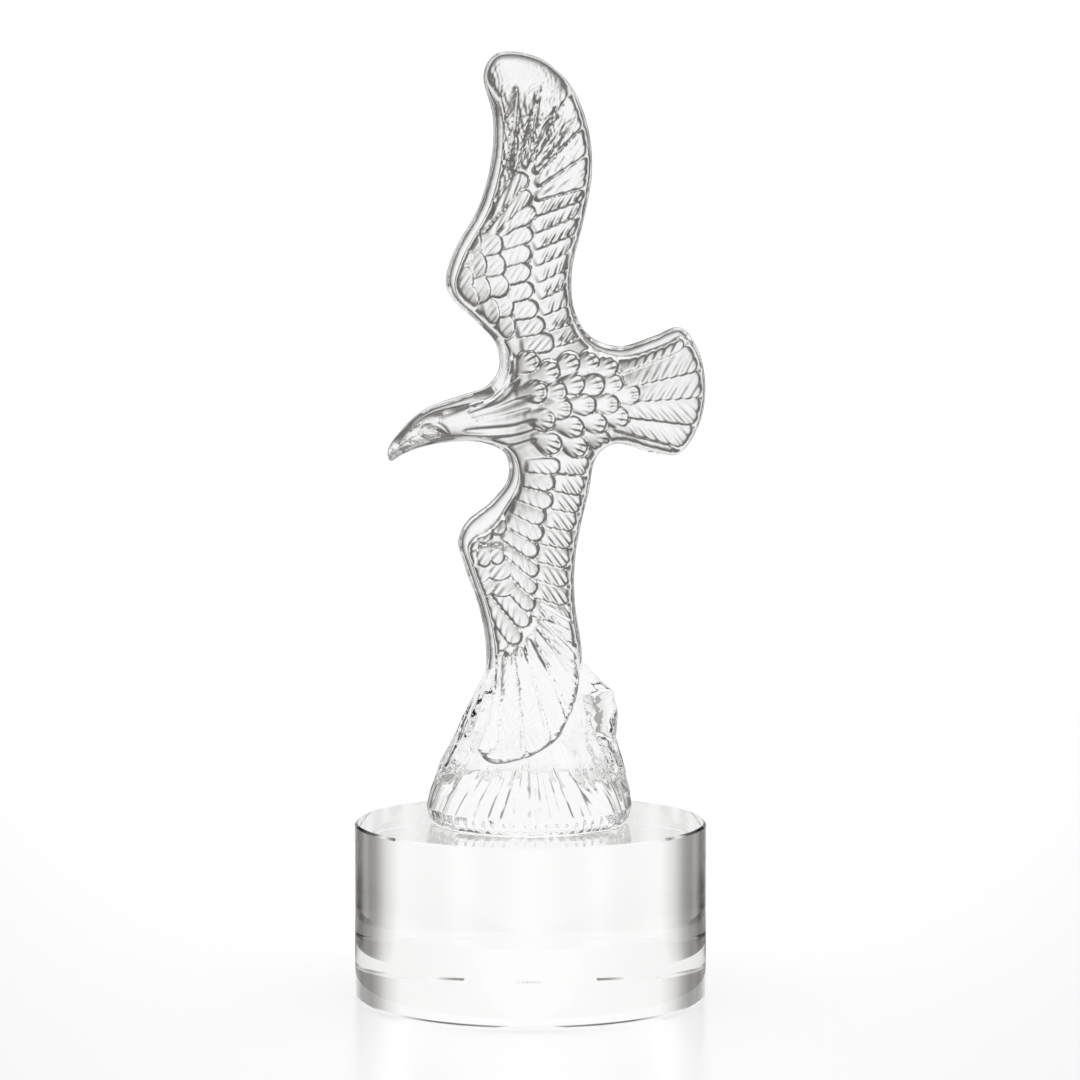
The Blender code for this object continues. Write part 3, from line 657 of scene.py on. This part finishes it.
def sheet_points(outline, step, insets, clear):
    """The outline, rings at the given insets, and a grid that starts clear of the last ring."""
    layers = [outline.loop]
    for share, extra in insets:
        width = share * outline.ledge + extra
        ring = outline.loop - outline.out * width[:, None]
        depth, _ = outline.measure(ring)
        layers.append(ring[depth > RING_CHECK * width])
    grid = hex_grid(outline.loop, step)
    depth, ledge = outline.measure(grid)
    layers.append(grid[depth > clear[0] * ledge + clear[1]])
    return np.vstack(layers)


def triangulate(outline, points):
    """Triangles over the points, bounded by the outline."""
    ring = list(range(len(outline.loop)))
    spots, _, faces, _, _, _ = delaunay_2d_cdt(points.tolist(), [], [ring], 1, 1e-5)
    return np.array([tuple(spot) for spot in spots]), faces


def place(points, depth):
    """Sheet points at a depth towards the viewer, in metres."""
    x, y = points.T
    return np.stack([(x - AXIS_X) * UNIT, -depth * UNIT, FIGURE_FOOT + (FOOT_Y - y) * UNIT], axis=1)


def plate_points(outline, step, insets, clear):
    """One side's points, its triangles, the distances inside the outline and the ledge's widths.

    The first points are the outline's own, at no distance, so that both sides meet there.
    """
    spots, faces = triangulate(outline, sheet_points(outline, step, insets, clear))
    depth, ledge = outline.measure(spots)
    depth = np.maximum(depth, 0.0)
    depth[:len(outline.loop)] = 0.0
    return spots, faces, depth, ledge


def eagle_plate():
    """The eagle as one closed body, carved in front and plain behind."""
    outline = Outline(OUTLINE_STEP)
    mesh = bmesh.new()
    spots, faces, depth, ledge = plate_points(outline, FACE_STEP, FRONT_INSETS, FRONT_CLEAR)
    add_surface(mesh, place(spots, front_depth(spots, depth, ledge)), faces)
    spots, faces, depth, _ = plate_points(outline, BACK_STEP, BACK_INSETS, BACK_CLEAR)
    add_surface(mesh, place(spots, back_depth(spots, depth)), faces)
    bmesh.ops.remove_doubles(mesh, verts=mesh.verts, dist=1e-7)
    bmesh.ops.recalc_face_normals(mesh, faces=mesh.faces)
    return mesh


def add_surface(mesh, corners, faces):
    """Add a triangulated surface to a mesh."""
    verts = [mesh.verts.new(corner_place) for corner_place in corners.tolist()]
    for face in faces:
        mesh.faces.new([verts[k] for k in face])


def rock_radius(angles, level, ridges):
    """Reach of the rock from its axis at each angle, on one level above the foot."""
    levels = np.array([row[0] for row in ROCK_SECTIONS], float)
    left, right, front, back = (
        np.interp(level, levels, [row[k] for row in ROCK_SECTIONS]) for k in range(1, 5)
    )
    c = np.cos(angles)
    s = np.sin(angles)
    across = c / np.where(c > 0, right, left)
    along = s / np.where(s > 0, back, front)
    radius = 1 / np.hypot(across, along)
    ridged = 1 - ease((s + RIDGE_SIDE_FADE[0]) / RIDGE_SIDE_FADE[1])
    for spot, width, low, high, drift, height in ridges:
        turn = (angles - spot - drift * level + math.pi) % (2 * math.pi) - math.pi
        window = ease((level - low) / RIDGE_FADES[0]) * ease((high - level) / RIDGE_FADES[1])
        radius += height * window * np.exp(-((turn / width) ** 2)) * ridged
    edge = OVERHANG_LEVEL + sum(rise * np.sin(count * angles + rise) for rise, count in OVERHANG_WAVES)
    mass = ease((level - edge) / OVERHANG_FADES[0]) * ease((levels[-1] - level) / OVERHANG_FADES[1])
    facing = 1 - ease((s + FRONT_SIDE_FADE[0]) / FRONT_SIDE_FADE[1])
    middle, half, depth, count = DIMPLES
    row = np.maximum(np.cos(count * angles), 0.0) ** 2
    dimple = depth * math.exp(-(((level - middle) / half) ** 2)) * row
    return radius + (OVERHANG_REACH * mass + dimple) * facing


def uneven_ridges(draw, count, width_deg, heights, low, high, drift):
    """Upright ridges, or runnels where the height is below zero, round the rock at uneven angles."""
    ridges = []
    for k in range(count):
        spot = 2 * math.pi * (k + draw.uniform(-RIDGE_UNEVENNESS, RIDGE_UNEVENNESS)) / count
        width = math.radians(width_deg * draw.uniform(*RIDGE_WIDTH_SHARES))
        bottom = draw.uniform(*low)
        top = draw.uniform(*high)
        turn = draw.uniform(-drift, drift)
        ridges.append((spot, width, bottom, top, turn, draw.uniform(*heights)))
    return ridges


def rock_ridges():
    """All that stands out of the rock's plain form: ridges, fine runnels, drips at the foot and lobes."""
    draw = random.Random(ROCK_SEED)
    ridges = [ridge for kind in ROCK_RIDGES for ridge in uneven_ridges(draw, *kind)]
    for turn, spread, low, high, height in ROCK_LOBES:
        ridges.append((math.radians(turn), math.radians(spread), low, high, 0.0, height))
    return ridges


def rock_ring(level, ridges):
    """One ring of the rock's surface, as places across and along."""
    angles = np.linspace(0.0, 2 * math.pi, ROCK_SEGMENTS, endpoint=False)
    radius = rock_radius(angles, level, ridges) * UNIT
    return list(zip((radius * np.cos(angles)).tolist(), (radius * np.sin(angles)).tolist()))


def join_rings(mesh, rings):
    """Faces between each ring and the next."""
    for lower, upper in zip(rings, rings[1:]):
        for k in range(len(lower)):
            after = (k + 1) % len(lower)
            mesh.faces.new((lower[k], lower[after], upper[after], upper[k]))


def rock():
    """The rock as a closed stack of rings with flat ends."""
    ridges = rock_ridges()
    top = ROCK_SECTIONS[-1][0]
    shares = np.linspace(0.0, 1.0, ROCK_RINGS)
    mesh = bmesh.new()
    rings = []
    for level in top * (RING_SPACING[0] * shares + RING_SPACING[1] * shares**2):
        height = FIGURE_FOOT + level * UNIT
        rings.append([mesh.verts.new((x, y, height)) for x, y in rock_ring(level, ridges)])
    join_rings(mesh, rings)
    mesh.faces.new(rings[0])
    mesh.faces.new(rings[-1])
    bmesh.ops.recalc_face_normals(mesh, faces=mesh.faces)
    bmesh.ops.triangulate(mesh, faces=mesh.faces)
    return mesh


def object_from(mesh, name):
    """Turn a mesh under construction into a named object."""
    data = bpy.data.meshes.new(name)
    mesh.to_mesh(data)
    mesh.free()
    item = bpy.data.objects.new(name, data)
    bpy.context.scene.collection.objects.link(item)
    return item


def apply_modifiers(item):
    """Keep an object's evaluated mesh and drop its modifiers."""
    graph = bpy.context.evaluated_depsgraph_get()
    data = bpy.data.meshes.new_from_object(item.evaluated_get(graph))
    item.modifiers.clear()
    item.data = data


def shade(item, angle):
    """Smooth shading, but for edges sharper than the angle."""
    item.data.shade_smooth()
    item.data.set_sharp_from_angle(angle=math.radians(angle))


def eagle_figure():
    """The eagle and the rock, cast as one piece."""
    figure = object_from(eagle_plate(), "eagle_and_rock")
    stone = object_from(rock(), "rock_to_join")
    join = figure.modifiers.new("join the rock", "BOOLEAN")
    join.operation = "UNION"
    join.solver = "MANIFOLD"
    join.object = stone
    apply_modifiers(figure)
    bpy.data.objects.remove(stone, do_unlink=True)
    shade(figure, FIGURE_SHARP_DEG)
    return figure


def base_disc():
    """The solid disc with small polished chamfers, and on its top the patch that the rock is bonded to."""
    inner = BASE_RADIUS - BASE_CHAMFER
    low = BASE_LOW[2]
    high = BASE_HIGH[2]
    profile = (
        (inner, low), (BASE_RADIUS, low + BASE_CHAMFER), (BASE_RADIUS, high - BASE_CHAMFER), (inner, high),
    )
    turns = [2 * math.pi * k / BASE_SEGMENTS for k in range(BASE_SEGMENTS)]
    mesh = bmesh.new()
    rings = []
    for radius, height in profile:
        ring = [(radius * math.cos(turn), radius * math.sin(turn), height) for turn in turns]
        rings.append([mesh.verts.new(spot) for spot in ring])
    rings.append([mesh.verts.new((x, y, high)) for x, y in rock_ring(0.0, rock_ridges())])
    join_rings(mesh, rings)
    mesh.faces.new(rings[0][::-1])
    patch = mesh.faces.new(rings[-1])
    patch.material_index = 1
    disc = object_from(mesh, "polished_disc")
    shade(disc, BASE_SHARP_DEG)
    return disc


def mark_foot(figure):
    """Give the faces that rest on the disc the second material."""
    for face in figure.data.polygons:
        if face.normal.z < FOOT_FACING and face.center.z < FIGURE_FOOT + FOOT_MARGIN:
            face.material_index = 1


def clear_glass(name, tint, ior=GLASS_IOR):
    """Clear polished glass, which passes the given share of the light."""
    material = bpy.data.materials.new(name)
    material.use_nodes = True
    shader = material.node_tree.nodes["Principled BSDF"]
    shader.inputs["Base Color"].default_value = tint
    shader.inputs["Roughness"].default_value = 0.0
    shader.inputs["IOR"].default_value = ior
    shader.inputs["Transmission Weight"].default_value = 1.0
    return material


def pressed_skin(material):
    """The faint waviness that a mould leaves on pressed glass."""
    nodes = material.node_tree.nodes
    links = material.node_tree.links
    spot = nodes.new("ShaderNodeTexCoord")
    waves = nodes.new("ShaderNodeTexNoise")
    waves.inputs["Scale"].default_value = 1 / SKIN_WAVE
    waves.inputs["Detail"].default_value = SKIN_DETAIL
    bumps = nodes.new("ShaderNodeBump")
    bumps.inputs["Distance"].default_value = SKIN_DEPTH
    links.new(spot.outputs["Object"], waves.inputs["Vector"])
    links.new(waves.outputs["Fac"], bumps.inputs["Height"])
    links.new(bumps.outputs["Normal"], nodes["Principled BSDF"].inputs["Normal"])


def wear(item, *materials):
    """Give an object its materials."""
    places = [face.material_index for face in item.data.polygons]
    item.data.materials.clear()
    for material in materials:
        item.data.materials.append(material)
    item.data.polygons.foreach_set("material_index", places)


def ramp_of(nodes, stops):
    """A colour ramp node with the given grey stops, from 0 to 1."""
    ramp = nodes.new("ShaderNodeValToRGB")
    marks = ramp.color_ramp.elements
    for position, _ in stops[1:-1]:
        marks.new(position)
    for mark, (_, level) in zip(marks, stops):
        mark.color = (level, level ** GREY_WARMTH[0], level ** GREY_WARMTH[1], 1.0)
    return ramp


def glowing(name, measure_nodes, stops):
    """Glowing cloth whose brightness follows a ramp over the measure that the given function builds."""
    material = bpy.data.materials.new(name)
    material.use_nodes = True
    nodes = material.node_tree.nodes
    links = material.node_tree.links
    nodes.clear()
    ramp = ramp_of(nodes, stops)
    glow = nodes.new("ShaderNodeEmission")
    out = nodes.new("ShaderNodeOutputMaterial")
    spot = nodes.new("ShaderNodeTexCoord")
    whole = working_node(nodes, "ShaderNodeVectorMath", "ABSOLUTE")
    links.new(spot.outputs["Object"], whole.inputs[0])
    angle = measure_nodes(nodes, links, whole.outputs[0])
    share = working_node(nodes, "ShaderNodeMath", "MULTIPLY")
    share.inputs[1].default_value = 2 / math.pi
    links.new(angle, share.inputs[0])
    links.new(share.outputs[0], ramp.inputs[0])
    links.new(ramp.outputs[0], glow.inputs["Color"])
    links.new(glow.outputs[0], out.inputs["Surface"])
    return material


def working_node(nodes, kind, operation):
    """A node that works out one operation."""
    node = nodes.new(kind)
    node.operation = operation
    return node


def turn_from_front(nodes, links, spot):
    """The turn from the front or the back towards a side, as seen from the disc's near rim."""
    parts = nodes.new("ShaderNodeSeparateXYZ")
    past = working_node(nodes, "ShaderNodeVectorMath", "SUBTRACT")
    past.inputs[1].default_value = RIM_PLACE
    turn = working_node(nodes, "ShaderNodeMath", "ARCTAN2")
    links.new(spot, past.inputs[0])
    links.new(past.outputs[0], parts.inputs[0])
    links.new(parts.outputs["X"], turn.inputs[0])
    links.new(parts.outputs["Y"], turn.inputs[1])
    return turn.outputs[0]


def angle_from_sides(nodes, links, spot):
    """The angle between a direction and the nearest of the four level ones: front, back, left and right."""
    aim = working_node(nodes, "ShaderNodeVectorMath", "NORMALIZE")
    parts = nodes.new("ShaderNodeSeparateXYZ")
    nearest = working_node(nodes, "ShaderNodeMath", "MAXIMUM")
    angle = working_node(nodes, "ShaderNodeMath", "ARCCOSINE")
    links.new(spot, aim.inputs[0])
    links.new(aim.outputs[0], parts.inputs[0])
    links.new(parts.outputs["X"], nearest.inputs[0])
    links.new(parts.outputs["Y"], nearest.inputs[1])
    links.new(nearest.outputs[0], angle.inputs[0])
    return angle.outputs[0]


def hang(mesh, name, material, mirrored=True):
    """Set up a piece of the tent, which only the glass and, where it is mirrored, the floor see."""
    item = object_from(mesh, name)
    item.visible_glossy = mirrored
    item.visible_camera = False
    item.visible_diffuse = False
    item.visible_shadow = False
    wear(item, material)


def light_tent():
    """What the glass bends and mirrors: a far dome all round, and cloth below and low round the disc."""
    dome = bmesh.new()
    bmesh.ops.create_uvsphere(dome, u_segments=DOME_SEGMENTS, v_segments=DOME_SEGMENTS, radius=DOME_RADIUS)
    hang(dome, "tent_dome", glowing("dome cloth", angle_from_sides, DOME_STOPS))
    skirt = bmesh.new()
    depth = SKIRT_HEIGHT - GROUND_CLOTH_LEVEL
    bmesh.ops.create_cone(
        skirt, cap_ends=False, segments=CLOTH_SEGMENTS, depth=depth,
        radius1=SKIRT_RADIUS, radius2=SKIRT_RADIUS,
    )
    bmesh.ops.translate(skirt, verts=skirt.verts, vec=(0.0, 0.0, GROUND_CLOTH_LEVEL + depth / 2))
    hang(skirt, "tent_skirt", glowing("skirt cloth", turn_from_front, LOW_STOPS), mirrored=False)
    for name, radius, level, stops in (
        ("tent_ground", SKIRT_RADIUS, GROUND_CLOTH_LEVEL, LOW_STOPS),
        ("tent_mat", MAT_RADIUS, MAT_LEVEL, WHITE_STOPS),
    ):
        sheet = bmesh.new()
        bmesh.ops.create_circle(sheet, cap_ends=True, segments=CLOTH_SEGMENTS, radius=radius)
        bmesh.ops.translate(sheet, verts=sheet.verts, vec=(0.0, 0.0, level))
        hang(sheet, name, glowing(name, turn_from_front, stops))


def studio():
    """Pale floor, soft light all round and the photograph's camera."""
    scene = bpy.context.scene
    scene.view_settings.view_transform = "Standard"
    scene.cycles.use_denoising = True
    scene.cycles.max_bounces = GLASS_BOUNCES
    scene.cycles.transmission_bounces = GLASS_BOUNCES
    scene.cycles.glossy_bounces = MIRROR_BOUNCES

    mesh = bmesh.new()
    bmesh.ops.create_grid(mesh, x_segments=1, y_segments=1, size=FLOOR_REACH)
    floor = object_from(mesh, "floor")
    floor.location.z = FLOOR_LEVEL
    paint = bpy.data.materials.new("pale floor")
    paint.use_nodes = True
    shader = paint.node_tree.nodes["Principled BSDF"]
    shader.inputs["Base Color"].default_value = FLOOR_GREY
    shader.inputs["Roughness"].default_value = FLOOR_ROUGHNESS
    shader.inputs["Emission Color"].default_value = WHITE
    shader.inputs["Emission Strength"].default_value = FLOOR_GLOW
    wear(floor, paint)
    floor.visible_transmission = False
    floor.visible_glossy = False

    world = bpy.data.worlds.new("studio")
    scene.world = world
    world.use_nodes = True
    sky = world.node_tree.nodes["Background"]
    sky.inputs["Color"].default_value = WHITE
    sky.inputs["Strength"].default_value = SKY_STRENGTH
    light_tent()

    lens = bpy.data.cameras.new("camera")
    lens.lens = CAMERA_LENS
    lens.sensor_width = CAMERA_SENSOR
    camera = bpy.data.objects.new("camera", lens)
    scene.collection.objects.link(camera)
    camera.location = CAMERA_PLACE
    camera.rotation_euler = (math.radians(90 - CAMERA_PITCH_DEG), 0.0, 0.0)
    scene.camera = camera


def main():
    figure = eagle_figure()
    cast_glass = clear_glass("figure glass", FIGURE_TINT)
    pressed_skin(cast_glass)
    bond = clear_glass("clear bond", WHITE, BOND_IOR)
    mark_foot(figure)
    wear(figure, cast_glass, bond)
    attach(figure, "root")
    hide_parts("eagle_figure")
    disc = base_disc()
    wear(disc, clear_glass("base glass", BASE_TINT), bond)
    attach(disc, "root")
    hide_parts("round_base")
    print("triangles", len(figure.data.polygons), len(disc.data.polygons))
    studio()


main()
